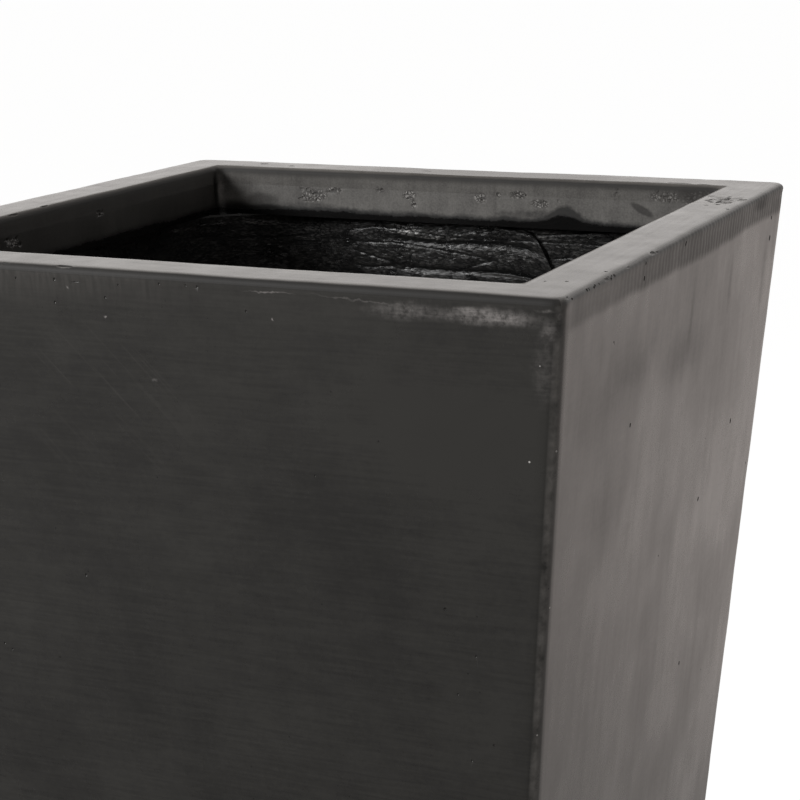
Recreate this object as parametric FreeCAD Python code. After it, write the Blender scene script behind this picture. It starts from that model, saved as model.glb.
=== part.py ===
import FreeCAD
import Part
import math
import os

Vector = FreeCAD.Vector

# Outer form, millimetres
mouth_width = 360.0
base_width = 258.0
height = 650.0
arris_radius = 5.0          # upright corners, eased by hand
foot_edge_chamfer = 2.0

# Rim, turned in at the top of the casting
rim_width = 28.0
rim_depth = 28.0
rim_draft = 0.5             # the mouth closes by this on each side, top to underside
rim_outer_round = 3.0
rim_inner_round = 2.0
mouth_corner_radius = 4.0

# Walls, floor and foot
wall_thickness = 11.0
floor_thickness = 18.0
cavity_corner_radius = 70.0
foot_recess_depth = 6.0
foot_width = 32.0           # standing margin round the recess
foot_recess_radius = 15.0

# Glass-fibre lining
floor_mat_thickness = 4.0
strip_thickness = 2.0
mat_thickness = 3.0         # over the strips
mat_edge_far = 95.0         # from the corner to the mat edge on its wide-strip side
mat_edge_near = 74.0        # the same on its narrow-strip side
mat_round_far = 60.0        # upper corners of the mat
mat_round_near = 25.0
mat_lap = 10.0              # how far a strip runs on under the mat, past its rounded corner

# Drain and its plug
drain_diameter = 26.0
plug_clearance = 0.3        # on the radius, at the top of the shank
plug_taper = 1.7            # loss of radius down the shank
plug_protrusion = 2.0       # shank end below the stone floor
plug_flange_lap = 8.0       # flange beyond the drain hole, all round
plug_flange_thickness = 5.0
plug_flange_round = 1.5
plug_grip_length = 30.0
plug_grip_width = 8.0
plug_grip_height = 12.0
plug_grip_round = 1.5
plug_core_diameter = 12.0   # moulded hollow, open below
plug_core_depth = 16.0

# Values that follow from the sizes above
spread = (mouth_width - base_width) / 2.0
lean = math.atan2(spread, height)
floor_top = foot_recess_depth + floor_thickness
mat_floor = floor_top + floor_mat_thickness
rim_underside = height - rim_depth
drain_radius = drain_diameter / 2.0
past = 20.0                 # how far a cutting tool runs beyond the work


def outer_half(z):
    return base_width / 2.0 + z * math.tan(lean)


def lining_half(z, inset):
    return outer_half(z) - (wall_thickness + inset) / math.cos(lean)


def wedge(z_low, low, z_high, high):
    # low and high are (x_min, x_max, y_min, y_max) at the two heights
    solid = Part.makeWedge(
        low[0], z_low, -low[3], -high[3], high[0],
        low[1], z_high, -low[2], -high[2], high[1],
    )
    solid.rotate(Vector(0, 0, 0), Vector(1, 0, 0), 90)
    return solid


def spans(edge, length):
    return abs(edge.BoundBox.ZLength - length) < 1e-4


def on_level(edge, z):
    box = edge.BoundBox
    return abs(box.ZMin - z) < 1e-4 and abs(box.ZMax - z) < 1e-4


def tapered_block(z_low, half_low, z_high, half_high, radius):
    low = (-half_low, half_low, -half_low, half_low)
    high = (-half_high, half_high, -half_high, half_high)
    block = wedge(z_low, low, z_high, high)
    uprights = [edge for edge in block.Edges if spans(edge, z_high - z_low)]
    return block.makeFillet(radius, uprights)


def lining_block(z_low, z_high, inset):
    # the cavity, brought in from the stone by the inset at walls and corners alike
    half_low = lining_half(z_low, inset)
    half_high = lining_half(z_high, inset)
    return tapered_block(z_low, half_low, z_high, half_high, cavity_corner_radius - inset)


def turned(shape, quarter):
    copy = shape.copy()
    copy.rotate(Vector(0, 0, 0), Vector(0, 0, 1), 90 * quarter)
    return copy


def drain_tool():
    return Part.makeCylinder(drain_radius, mat_floor + 2 * past, Vector(0, 0, -past))


def make_stone_shell():
    body = tapered_block(0, base_width / 2.0, height, mouth_width / 2.0, arris_radius)
    body = body.makeFillet(rim_outer_round, [edge for edge in body.Edges if on_level(edge, height)])
    body = body.makeChamfer(foot_edge_chamfer, [edge for edge in body.Edges if on_level(edge, 0)])

    mouth_half = mouth_width / 2.0 - rim_width
    flare = rim_draft / rim_depth * past
    mouth = tapered_block(
        rim_underside, mouth_half - rim_draft, height + past, mouth_half + flare, mouth_corner_radius
    )
    cavity = lining_block(floor_top, rim_underside, 0)
    recess_half = base_width / 2.0 - foot_width
    recess = tapered_block(-past, recess_half, foot_recess_depth, recess_half, foot_recess_radius)

    body = body.cut(cavity)
    body = body.cut(mouth)
    body = body.cut(recess)
    body = body.cut(drain_tool())

    lip = [edge for edge in body.Edges if on_level(edge, height) and edge.BoundBox.XMax < mouth_half + 1]
    lip = [edge for edge in lip if edge.BoundBox.YMax < mouth_half + 1 and edge.BoundBox.YMin > -mouth_half - 1]
    lip = [edge for edge in lip if edge.BoundBox.XMin > -mouth_half - 1]
    return body.makeFillet(rim_inner_round, lip)


def make_floor_mat():
    return lining_block(floor_top, mat_floor, 0).cut(drain_tool())


def lining_layer(thickness):
    full = lining_block(mat_floor, rim_underside, 0)
    core = lining_block(mat_floor - past, rim_underside + past, thickness)
    return full.cut(core)


def make_corner_strips():
    layer = lining_layer(strip_thickness)
    far = mat_edge_far + mat_round_far + mat_lap
    near = mat_edge_near + mat_round_near + mat_lap
    low_half = lining_half(mat_floor, 0)
    high_half = lining_half(rim_underside, 0)
    low = (low_half - far, low_half + past, low_half - near, low_half + past)
    high = (high_half - far, high_half + past, high_half - near, high_half + past)
    region = wedge(mat_floor, low, rim_underside, high)
    strip = layer.common(region)

    # each strip is trimmed to the ones laid before it
    strips = []
    for quarter in range(4):
        piece = turned(strip, quarter)
        for laid in strips:
            piece = piece.cut(laid)
        strips.append(piece)
    return strips


def make_wall_mats(strips):
    layer = lining_layer(strip_thickness + mat_thickness)
    low_half = lining_half(mat_floor, 0)
    high_half = lining_half(rim_underside, 0)
    outline = [
        Vector(mat_edge_near - low_half, 0, mat_floor),
        Vector(low_half - mat_edge_far, 0, mat_floor),
        Vector(high_half - mat_edge_far, 0, rim_underside),
        Vector(mat_edge_near - high_half, 0, rim_underside),
    ]
    sheet = Part.Face(Part.makePolygon(outline + outline[:1]))
    sheet = sheet.extrude(Vector(0, mouth_width, 0))
    far_corner = [edge for edge in sheet.Edges if lies_at(edge, outline[2])]
    sheet = sheet.makeFillet(mat_round_far, far_corner)
    near_corner = [edge for edge in sheet.Edges if lies_at(edge, outline[3])]
    sheet = sheet.makeFillet(mat_round_near, near_corner)
    back_mat = layer.common(sheet)

    mats = []
    for quarter in range(4):
        mat = turned(back_mat, quarter)
        for strip in strips:
            mat = mat.cut(strip)
        mats.append(mat)
    return mats


def lies_at(edge, point):
    # an edge that runs front to back through this point
    box = edge.BoundBox
    level = abs(box.ZMin - point.z) < 1e-4 and box.ZLength < 1e-4
    return level and abs(box.XMin - point.x) < 1e-4 and box.XLength < 1e-4


def make_drain_plug():
    shank_length = mat_floor - foot_recess_depth + plug_protrusion
    shank_radius = drain_radius - plug_clearance
    shank = Part.makeCone(
        shank_radius - plug_taper, shank_radius, shank_length, Vector(0, 0, mat_floor - shank_length)
    )
    flange = Part.makeCylinder(
        drain_radius + plug_flange_lap, plug_flange_thickness, Vector(0, 0, mat_floor)
    )
    flange_top = mat_floor + plug_flange_thickness
    flange = flange.makeFillet(plug_flange_round, [edge for edge in flange.Edges if on_level(edge, flange_top)])

    # the finger grip, a rib with round ends across the flange
    sink = plug_flange_thickness / 2.0
    rib_height = plug_grip_height + sink
    rib_base = Vector(-plug_grip_length / 2.0, -plug_grip_width / 2.0, flange_top - sink)
    rib = Part.makeBox(plug_grip_length, plug_grip_width, rib_height, rib_base)
    uprights = [edge for edge in rib.Edges if spans(edge, rib_height)]
    rib = rib.makeFillet(plug_grip_width * 0.49, uprights)
    rib_top = flange_top + plug_grip_height
    rib = rib.makeFillet(plug_grip_round, [edge for edge in rib.Edges if on_level(edge, rib_top)])

    core_base = Vector(0, 0, mat_floor - shank_length - past)
    core = Part.makeCylinder(plug_core_diameter / 2.0, plug_core_depth + past, core_base)
    plug = shank.fuse(flange).fuse(rib)
    plug = plug.cut(core)
    return plug.removeSplitter()


def save(name, shape):
    solids = shape.Solids
    if len(solids) != 1:
        raise ValueError(name + " should be one solid")
    solids[0].exportStep("parts/" + name + ".step")


os.makedirs("parts", exist_ok=True)

strips = make_corner_strips()
mats = make_wall_mats(strips)

save("stone_shell", make_stone_shell())
save("floor_mat", make_floor_mat())
for corner, strip in zip(("back_right", "back_left", "front_left", "front_right"), strips):
    save("corner_strip_" + corner, strip)
for wall, mat in zip(("back", "left", "front", "right"), mats):
    save("wall_mat_" + wall, mat)
save("drain_plug", make_drain_plug())
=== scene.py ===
import math
import random
from functools import partial
import bmesh
import bpy
from mathutils import Matrix, Vector, noise


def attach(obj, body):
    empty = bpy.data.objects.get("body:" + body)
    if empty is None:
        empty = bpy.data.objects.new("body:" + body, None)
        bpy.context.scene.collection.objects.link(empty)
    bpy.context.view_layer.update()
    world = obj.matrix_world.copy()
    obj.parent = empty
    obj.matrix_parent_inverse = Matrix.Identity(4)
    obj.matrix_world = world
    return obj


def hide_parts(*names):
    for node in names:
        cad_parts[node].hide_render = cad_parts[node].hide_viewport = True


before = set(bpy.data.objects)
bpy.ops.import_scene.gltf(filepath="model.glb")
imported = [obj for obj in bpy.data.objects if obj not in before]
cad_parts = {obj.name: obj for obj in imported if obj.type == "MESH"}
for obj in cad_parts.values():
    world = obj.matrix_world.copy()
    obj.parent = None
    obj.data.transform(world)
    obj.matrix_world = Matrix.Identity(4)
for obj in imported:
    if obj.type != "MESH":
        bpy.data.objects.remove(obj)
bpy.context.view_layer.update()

mm = 0.001


# small tools that several pieces use

def deselect():
    if bpy.context.mode != "OBJECT":
        bpy.ops.object.mode_set(mode="OBJECT")
    bpy.ops.object.select_all(action="DESELECT")


def pickOnly(piece, mode="OBJECT"):
    deselect()
    piece.select_set(True)
    bpy.context.view_layer.objects.active = piece
    bpy.ops.object.mode_set(mode=mode)


def pickEdges(piece, wanted):
    bpy.ops.mesh.select_mode(type="EDGE")
    bpy.ops.mesh.select_all(action="DESELECT")
    mesh = bmesh.from_edit_mesh(piece.data)
    for edge in mesh.edges:
        if wanted(edge):
            edge.select_set(True)
    bmesh.update_edit_mesh(piece.data)


def applyModifier(piece, kind, **settings):
    pickOnly(piece)
    modifier = piece.modifiers.new("step", kind)
    modifier.show_viewport = False      # worked out once, when it is applied
    for key, value in settings.items():
        setattr(modifier, key, value)
    bpy.ops.object.modifier_apply(modifier="step")


def cutAway(piece, cutter, operation="DIFFERENCE", overlaps=False):
    applyModifier(piece, "BOOLEAN", operation=operation, solver="EXACT", object=cutter, use_self=overlaps)
    bpy.data.objects.remove(cutter)


def smoothShade(piece, degrees):
    pickOnly(piece)
    bpy.ops.object.shade_smooth_by_angle(angle=math.radians(degrees))


def easeIn(value, start, end):
    share = min(1.0, max(0.0, (value - start) / (end - start)))
    return share * share * (3 - 2 * share)


def quarterTurn(count):
    return Matrix.Rotation(math.pi / 2 * count, 3, "Z")


# colours are written as sRGB hex and turned to linear here
def hexColor(code):
    parts = [int(code[i:i + 2], 16) / 255 for i in (0, 2, 4)]
    return [c / 12.92 if c <= 0.04045 else ((c + 0.055) / 1.055) ** 2.4 for c in parts] + [1.0]


# adds one node: a socket among its inputs is linked, a hex colour is turned to linear, anything else is set
def addNode(tree, kind, inputs=(), operation=None, output=0, **settings):
    node = tree.nodes.new("ShaderNode" + kind)
    if operation:
        node.operation = operation
    for key, value in settings.items():
        setattr(node, key, value)
    for key, value in (inputs if isinstance(inputs, dict) else dict(enumerate(inputs))).items():
        if isinstance(value, bpy.types.NodeSocket):
            tree.links.new(value, node.inputs[key])
        else:
            node.inputs[key].default_value = hexColor(value) if isinstance(value, str) else value
    return node.outputs[output] if node.outputs else node


def newMaterial(name):
    material = bpy.data.materials.new(name)
    material.use_nodes = True
    material.node_tree.nodes.clear()
    return material, partial(addNode, material.node_tree)


# the planter's own sizes, shared by the shell and its lining
planter = {
    "mouth": 0.360,
    "base": 0.258,
    "height": 0.650,
    "rimWidth": 0.028,
    "rimDepth": 0.028,
    "wall": 0.011,
    "floorTop": 0.024,
    "floorMat": 0.004,
    "cavityCorner": 0.070,
    "cavitySteps": 12,
    "drainRadius": 0.013,
    "drainSteps": 48,
}
slope = (planter["mouth"] - planter["base"]) / 2 / planter["height"]
leanCos = math.cos(math.atan(slope))
mouthHalf = planter["mouth"] / 2 - planter["rimWidth"]
rimUnderside = planter["height"] - planter["rimDepth"]
matFloor = planter["floorTop"] + planter["floorMat"]


def outerHalf(z):
    return planter["base"] / 2 + slope * z


def liningHalf(z, inset):
    return outerHalf(z) - (planter["wall"] + inset) / leanCos


# camera, solved from the corners and edges of the rim
cameraSettings = {
    "place": (0.41902, -0.86442, 0.78758),
    "yaw": 24.1508,      # degrees
    "pitch": 13.6532,
    "roll": -0.8375,
    "lens": 88.13,       # mm
    "sensor": 36,
    "nearest": 0.01,
}


def setCamera(s):
    yaw, pitch, roll = (math.radians(s[key]) for key in ("yaw", "pitch", "roll"))
    back = Vector((math.sin(yaw) * math.cos(pitch), -math.cos(yaw) * math.cos(pitch), math.sin(pitch)))
    level = Vector((math.cos(yaw), math.sin(yaw), 0))
    upright = back.cross(level)
    right = level * math.cos(roll) + upright * math.sin(roll)
    up = upright * math.cos(roll) - level * math.sin(roll)
    bpy.ops.object.camera_add()
    camera = bpy.context.object
    camera.matrix_world = Matrix.Translation(s["place"]) @ Matrix((right, up, back)).transposed().to_4x4()
    camera.data.lens = s["lens"]
    camera.data.sensor_width = s["sensor"]
    camera.data.clip_start = s["nearest"]
    bpy.context.scene.camera = camera


setCamera(cameraSettings)
print("camera set")

# stone shell: a rounded square is drawn up the wall, over the rim and down the band in rings
shellSettings = {
    "arris": 0.005,
    "arrisSteps": 4,
    "sideCuts": 104,       # along each side
    "footEase": 0.002,
    "ringLow": 0.009,      # ring spacing up the wall
    "ringHigh": 0.0025,    # ring spacing near the rim
    "highZone": 0.070,
    "lastGap": 0.0005,     # least gap between the last ring of the wall and the round of the rim
    "rimRound": 0.003,
    "lipRound": 0.003,
    "roundSteps": 4,
    "topRings": 9,
    "bandRings": 10,
    "draft": 0.0005,
    "footRecess": 0.006,
    "footWidth": 0.032,
    "footCorner": 0.015,
    "footSteps": 5,
    "waves": ((0.085, 0.0008), (0.018, 0.0003)),    # hand-finished faces: size and depth
    "waveDetail": 2,
    "calmFoot": (0.004, 0.02),      # the waves start between these heights
    "calmBand": (0.3, 0.004),       # their share on the inner band, and the height over which they start
    "cavityOverlap": 0.0004,        # of the cavity and the mouth
    "cutDepth": 0.1,
    "cutBelow": 0.02,
    "shadeAngle": 38,
}


def shellRings(s):
    top, outer = planter["height"], planter["mouth"] / 2
    rimRound, lipRound = s["rimRound"], s["lipRound"]
    rings = [(planter["base"] / 2 - s["footEase"], 0.0)]
    z = s["footEase"]
    while z < top - rimRound - s["lastGap"]:
        rings.append((outerHalf(z), z))
        z += s["ringHigh"] if z > top - s["highZone"] else s["ringLow"]
    turns = [math.pi / 2 * step / s["roundSteps"] for step in range(s["roundSteps"] + 1)]
    for turn in turns:
        rings.append((outer - rimRound * (1 - math.cos(turn)), top - rimRound * (1 - math.sin(turn))))
    start, end = outer - rimRound, mouthHalf + lipRound
    for step in range(1, s["topRings"]):
        rings.append((start + (end - start) * step / s["topRings"], top))
    for turn in turns:
        rings.append((mouthHalf + lipRound * (1 - math.sin(turn)), top - lipRound * (1 - math.cos(turn))))
    for step in range(1, s["bandRings"] + 1):
        share = step / s["bandRings"]
        z = top - lipRound - (planter["rimDepth"] - lipRound) * share
        rings.append((mouthHalf - s["draft"] * share, z))
    return rings


def taperedCutter(zLow, halfLow, zHigh, halfHigh, corner, segments):
    middle, depth, grow = (zLow + zHigh) / 2, zHigh - zLow, halfHigh / halfLow
    deselect()
    sides = (2 * halfLow, 2 * halfLow, depth)
    bpy.ops.mesh.primitive_cube_add(size=1, location=(0, 0, middle), scale=sides)
    cutter = bpy.context.object
    bpy.ops.object.transform_apply(location=True, rotation=True, scale=True)
    pickOnly(cutter, "EDIT")
    pickEdges(cutter, lambda edge: all(v.co.z > middle for v in edge.verts))
    bpy.ops.transform.resize(value=(grow, grow, 1), center_override=(0, 0, zHigh))
    pickEdges(cutter, lambda edge: abs(edge.verts[0].co.z - edge.verts[1].co.z) > 0.5 * depth)
    bpy.ops.mesh.bevel(offset=corner, segments=segments, affect="EDGES")
    bpy.ops.object.mode_set(mode="OBJECT")
    return cutter


def drainCutter(depth):
    deselect()
    radius, steps = planter["drainRadius"], planter["drainSteps"]
    bpy.ops.mesh.primitive_cylinder_add(vertices=steps, radius=radius, depth=depth)
    return bpy.context.object


# chips, pits and peeled spots are cut with small rough stones, set where the photograph shows them:
# places and half sizes in mm
chipSettings = {
    "rough": (0.22, 2.1),                           # lumps on a stone: height and fineness
    "chips": (
        ((158, 112, 650.5), (3.5, 4.0, 0.9)),       # flake scar across the right rim
        ((163, 108, 650.5), (4.0, 5.0, 1.0)),
        ((167, 100, 650.5), (4.5, 7.0, 1.1)),
        ((172, 108, 650.5), (3.5, 4.0, 0.9)),
        ((171, 91, 650.5), (3.0, 6.0, 1.0)),
        ((176, 103, 650.4), (3.0, 5.0, 1.0)),
        ((179.9, -62, 649.8), (1.9, 4.0, 1.7)),     # nicks in the right outer edge
        ((180.2, -57, 649.0), (1.2, 2.6, 1.2)),
        ((180.0, -150, 649.2), (1.1, 2.4, 1.1)),
        ((180.0, -141, 649.0), (1.0, 1.6, 1.2)),
        ((180.1, -127, 649.0), (1.2, 3.2, 1.3)),
        ((180.0, -117, 648.9), (1.0, 1.6, 1.2)),
        ((180.1, -98, 649.1), (1.0, 2.8, 1.0)),
        ((-36.4, -179.8, 643.5), (2.2, 0.7, 0.5)),  # dash in the front face
        ((-43, -179.4, 650.3), (6.5, 2.6, 1.3)),    # nicks in the front outer edge
        ((-72, -179.9, 649.6), (4.0, 1.4, 1.0)),
        ((179.7, -172.7, 649.8), (1.4, 2.0, 1.2)),
        ((-130, 168, 650.4), (3.0, 2.0, 0.8)),      # small marks on the back rim
        ((-110, 164, 650.4), (2.6, 1.8, 0.8)),
        ((-24, 166, 650.4), (4.5, 1.6, 0.8)),
        ((128, 157, 650.3), (7.0, 1.1, 0.7)),
        ((142, 156, 650.3), (5.0, 1.3, 0.8)),
        ((-154.5, -27, 650.0), (1.4, 4.0, 1.0)),    # small marks on the left rim
        ((-152.8, -56, 649.8), (1.4, 5.0, 1.2)),
        ((179.6, 178.8, 649.4), (2.2, 2.2, 2.4)),   # worn back right corner
        ((170, 179.8, 649.5), (3.0, 1.5, 1.2)),
        ((158.6, 158.4, 372), (2.2, 2.6, 42)),      # long worn strip down the back right arris
    ),
    "pits": (
        ((-47.1, -179.5, 644.0), 0.8), ((-22.6, -179.0, 637.7), 0.6), ((-47.9, -178.7, 634.0), 0.6),
        ((-15.8, -179.5, 643.5), 0.5), ((4.1, -179.6, 645.2), 0.6), ((16.7, -179.6, 645.3), 0.6),
        ((22.1, -179.6, 645.1), 0.6), ((43.9, -178.9, 636.2), 0.6), ((-66.6, -179.5, 643.5), 0.6),
        ((-46.2, -169.0, 509.6), 0.7), ((-94.6, -165.9, 469.7), 0.6), ((-90.7, -165.7, 467.2), 0.6),
        ((126.1, -169.5, 516.5), 0.7), ((70.6, -173.6, 568.3), 0.5), ((139.0, -168.0, 497.3), 0.5),
        ((130.4, -166.6, 479.1), 0.5), ((145.5, -165.0, 458.3), 0.6), ((135.5, -164.3, 449.5), 0.5),
        ((179.7, -13.1, 645.7), 1.2), ((179.2, -74.2, 640.1), 1.1), ((179.7, -74.3, 646.7), 0.9),
        ((177.9, 155.9, 622.9), 1.5), ((178.7, 155.3, 633.9), 1.1), ((168.6, 58.5, 504.7), 1.2),
        ((170.8, 109.8, 533.1), 1.4), ((174.2, -75.8, 575.8), 1.0), ((161.8, 54.1, 417.5), 1.1),
        ((177.0, 69.7, 650), 1.1), ((175.9, -117, 650), 0.9), ((168.3, -142.8, 650), 0.9),
        ((160.2, -145.7, 650), 0.7),
    ),
    "pitShape": (1.2, 0.7),     # height to width, and how much of the stone bites
    # peeled spots on the inner band: side, along, height, half spread along and up, count
    "peels": (
        (0, -89, 635, 9, 3.6, 18), (0, -76, 638.5, 4.5, 1.4, 6), (0, -47, 640, 1.6, 1.2, 3),
        (0, -29.5, 637.5, 3.2, 2.2, 8), (0, -26.5, 632.5, 1.2, 2.0, 3), (0, 14.5, 638, 3.0, 2.6, 7),
        (0, 25.4, 640, 1.0, 0.8, 2), (0, 37.5, 640.5, 4.4, 2.0, 9), (0, 50, 636, 4.6, 1.6, 10),
        (0, 60, 639, 0.8, 0.8, 1), (0, 94, 643, 1.0, 2.6, 3), (0, 121, 643, 9, 2.2, 16),
        (1, -60, 636, 6, 2.5, 8), (1, 20, 639, 3, 2, 5), (2, -95, 638, 5, 2.5, 8), (2, -20, 636, 3, 2, 5),
        (2, 70, 640, 6, 2, 9), (3, -70, 637, 5, 2.5, 8), (3, 10, 640, 3, 1.8, 5), (3, 90, 635, 6, 2, 8),
    ),
    "peelStone": {"length": (0.7, 1.9), "depth": 0.55, "rise": (0.6, 1.4), "bite": (0.4, 0.8)},
    # pits all over the faces
    "loosePits": {
        "count": 56, "height": (20, 640), "spread": (-0.94, 0.94), "radius": (0.4, 0.8), "bite": 0.6,
    },
    # knocks all along the outer edges of the rim
    "looseChips": {
        "count": 52, "size": (0.6, 1.3), "along": (-172, 172), "out": (-0.2, 0.5), "stretch": (1.0, 3.0),
        "edge": (180, 649.8),
    },
    # broken spots of the flake scar: x and y have a middle and a spread
    "scar": {
        "count": 34, "x": (167, 4), "y": (98, 8.5), "z": 650, "bite": (0.5, 0.9),
        "radii": ((0.8, 2.0), (0.8, 2.4), (0.6, 1.2)),
    },
    # crumbled stretch of the right outer edge
    "crumble": {
        "count": 20, "size": (0.3, 0.9), "out": (-0.6, 0.2), "along": (-172, -100), "up": (-1.0, 0.6),
        "stretch": (1.0, 2.4), "edge": (180, 649),
    },
    "seed": 11,
}


def addCutStone(place, radii, steps=2):
    location, scale = [p * mm for p in place], [r * mm for r in radii]
    bpy.ops.mesh.primitive_ico_sphere_add(subdivisions=steps, radius=1, location=location, scale=scale)
    stone = bpy.context.object
    height, fineness = chipSettings["rough"]
    for vertex in stone.data.vertices:
        vertex.co *= 1 + height * noise.noise(vertex.co * fineness / max(radii) / mm + Vector(place))
    return stone


# a stone that only bites a little way into the finished face next to the given place
def addShallowStone(shell, place, radii, bite, steps=2):
    found, spot, normal, face = shell.closest_point_on_mesh(Vector(place) * mm)
    depth = sum(abs(n) * r for n, r in zip(normal, radii))
    return addCutStone((spot / mm) + normal * depth * (1 - bite), radii, steps)


def buildChipCutter(shell, s):
    random.seed(s["seed"])
    between = random.uniform
    deselect()
    stones = [addCutStone(place, radii) for place, radii in s["chips"]]
    tall, bite = s["pitShape"]
    for place, radius in s["pits"]:
        stones.append(addShallowStone(shell, place, (radius, radius, radius * tall), bite))

    peel = s["peelStone"]
    for side, along, height, spread, rise, count in s["peels"]:
        for index in range(count):
            spot = Vector((along + between(-spread, spread), mouthHalf / mm, height + between(-rise, rise)))
            radii = (between(*peel["length"]), peel["depth"], between(*peel["rise"]))
            if side % 2:
                radii = (radii[1], radii[0], radii[2])
            stones.append(addShallowStone(shell, quarterTurn(side) @ spot, radii, between(*peel["bite"])))

    pit = s["loosePits"]
    for index in range(pit["count"]):
        z = between(*pit["height"])
        out = outerHalf(z * mm) / mm
        spot = quarterTurn(index % 4) @ Vector((between(*pit["spread"]) * out, out, z))
        radius = between(*pit["radius"])
        stones.append(addShallowStone(shell, spot, (radius, radius, radius), pit["bite"], 1))

    chip = s["looseChips"]
    edge, height = chip["edge"]
    for index in range(chip["count"]):
        size = between(*chip["size"])
        spot = Vector((between(*chip["along"]), edge + between(*chip["out"]), height))
        radii = (size * between(*chip["stretch"]), size, size)
        if index % 2:
            radii = (radii[1], radii[0], radii[2])
        stones.append(addCutStone(quarterTurn(index % 4) @ spot, radii))

    scar = s["scar"]
    for index in range(scar["count"]):
        spot = (random.gauss(*scar["x"]), random.gauss(*scar["y"]), scar["z"])
        radii = tuple(between(*size) for size in scar["radii"])
        stones.append(addShallowStone(shell, spot, radii, between(*scar["bite"])))

    crumb = s["crumble"]
    edge, height = crumb["edge"]
    for index in range(crumb["count"]):
        size = between(*crumb["size"])
        spot = (edge + between(*crumb["out"]), between(*crumb["along"]), height + between(*crumb["up"]))
        stones.append(addCutStone(spot, (size, size * between(*crumb["stretch"]), size)))

    deselect()
    for stone in stones:
        stone.select_set(True)
    bpy.context.view_layer.objects.active = stones[0]
    bpy.ops.object.join()
    cutter = bpy.context.object
    bpy.ops.object.transform_apply(location=True, rotation=True, scale=True)
    return cutter


def liesAt(edge, level):
    return all(abs(v.co.z - level) < 1e-6 for v in edge.verts)


def buildShell(s):
    rings = shellRings(s)
    deselect()
    bpy.ops.mesh.primitive_plane_add(size=2 * rings[0][0])
    shell = bpy.context.object
    shell.name = "castShell"
    pickOnly(shell, "EDIT")
    bpy.ops.mesh.select_all(action="SELECT")
    arrisBelow = s["arris"] * planter["base"] / planter["mouth"]
    bpy.ops.mesh.bevel(offset=arrisBelow, segments=s["arrisSteps"], affect="VERTICES")
    bpy.ops.mesh.delete(type="ONLY_FACE")
    bpy.ops.mesh.select_all(action="SELECT")
    for (halfWas, zWas), (half, z) in zip(rings, rings[1:]):
        bpy.ops.mesh.extrude_region_move(TRANSFORM_OT_translate={"value": (0, 0, z - zWas)})
        bpy.ops.transform.resize(value=(half / halfWas, half / halfWas, 1), center_override=(0, 0, z))
    pickEdges(shell, lambda edge: edge.calc_length() > 0.5 * planter["base"])
    bpy.ops.mesh.subdivide(number_cuts=s["sideCuts"])
    for level in (0.0, rimUnderside):      # close the foot and the mouth
        pickEdges(shell, lambda edge: edge.is_boundary and liesAt(edge, level))
        bpy.ops.mesh.edge_face_add()
    bpy.ops.mesh.select_all(action="SELECT")
    bpy.ops.mesh.normals_make_consistent(inside=False)
    bpy.ops.object.mode_set(mode="OBJECT")
    print("shell drawn:", len(shell.data.polygons), "faces")

    # hand finishing: the faces wander a little, less on the band, not at all at the foot
    moved = shell.vertex_groups.new(name="handFinish")
    bandShare, bandRise = s["calmBand"]
    for vertex in shell.data.vertices:
        x, y, z = vertex.co
        weight = easeIn(z, *s["calmFoot"])
        if max(abs(x), abs(y)) < mouthHalf + s["lipRound"] and z > rimUnderside - mm:
            weight *= bandShare * easeIn(z, rimUnderside, rimUnderside + bandRise)
        moved.add([vertex.index], weight, "REPLACE")
    for size, depth in s["waves"]:
        texture = bpy.data.textures.new("handFinish", "CLOUDS")
        texture.noise_scale = size
        texture.noise_depth = s["waveDetail"]
        settings = {"texture_coords": "LOCAL", "vertex_group": "handFinish", "mid_level": 0.5}
        applyModifier(shell, "DISPLACE", texture=texture, strength=depth, **settings)
    shell.vertex_groups.clear()

    cutAway(shell, buildChipCutter(shell, chipSettings), overlaps=True)
    print("chips and pits cut")
    low, high = planter["floorTop"], rimUnderside + s["cavityOverlap"]
    corner, steps = planter["cavityCorner"], planter["cavitySteps"]
    cutAway(shell, taperedCutter(low, liningHalf(low, 0), high, liningHalf(rimUnderside, 0), corner, steps))
    half = planter["base"] / 2 - s["footWidth"]
    corner, steps = s["footCorner"], s["footSteps"]
    cutAway(shell, taperedCutter(-s["cutBelow"], half, s["footRecess"], half, corner, steps))
    cutAway(shell, drainCutter(s["cutDepth"]))
    smoothShade(shell, s["shadeAngle"])
    print("shell hollowed:", len(shell.data.polygons), "faces")
    return shell


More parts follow.
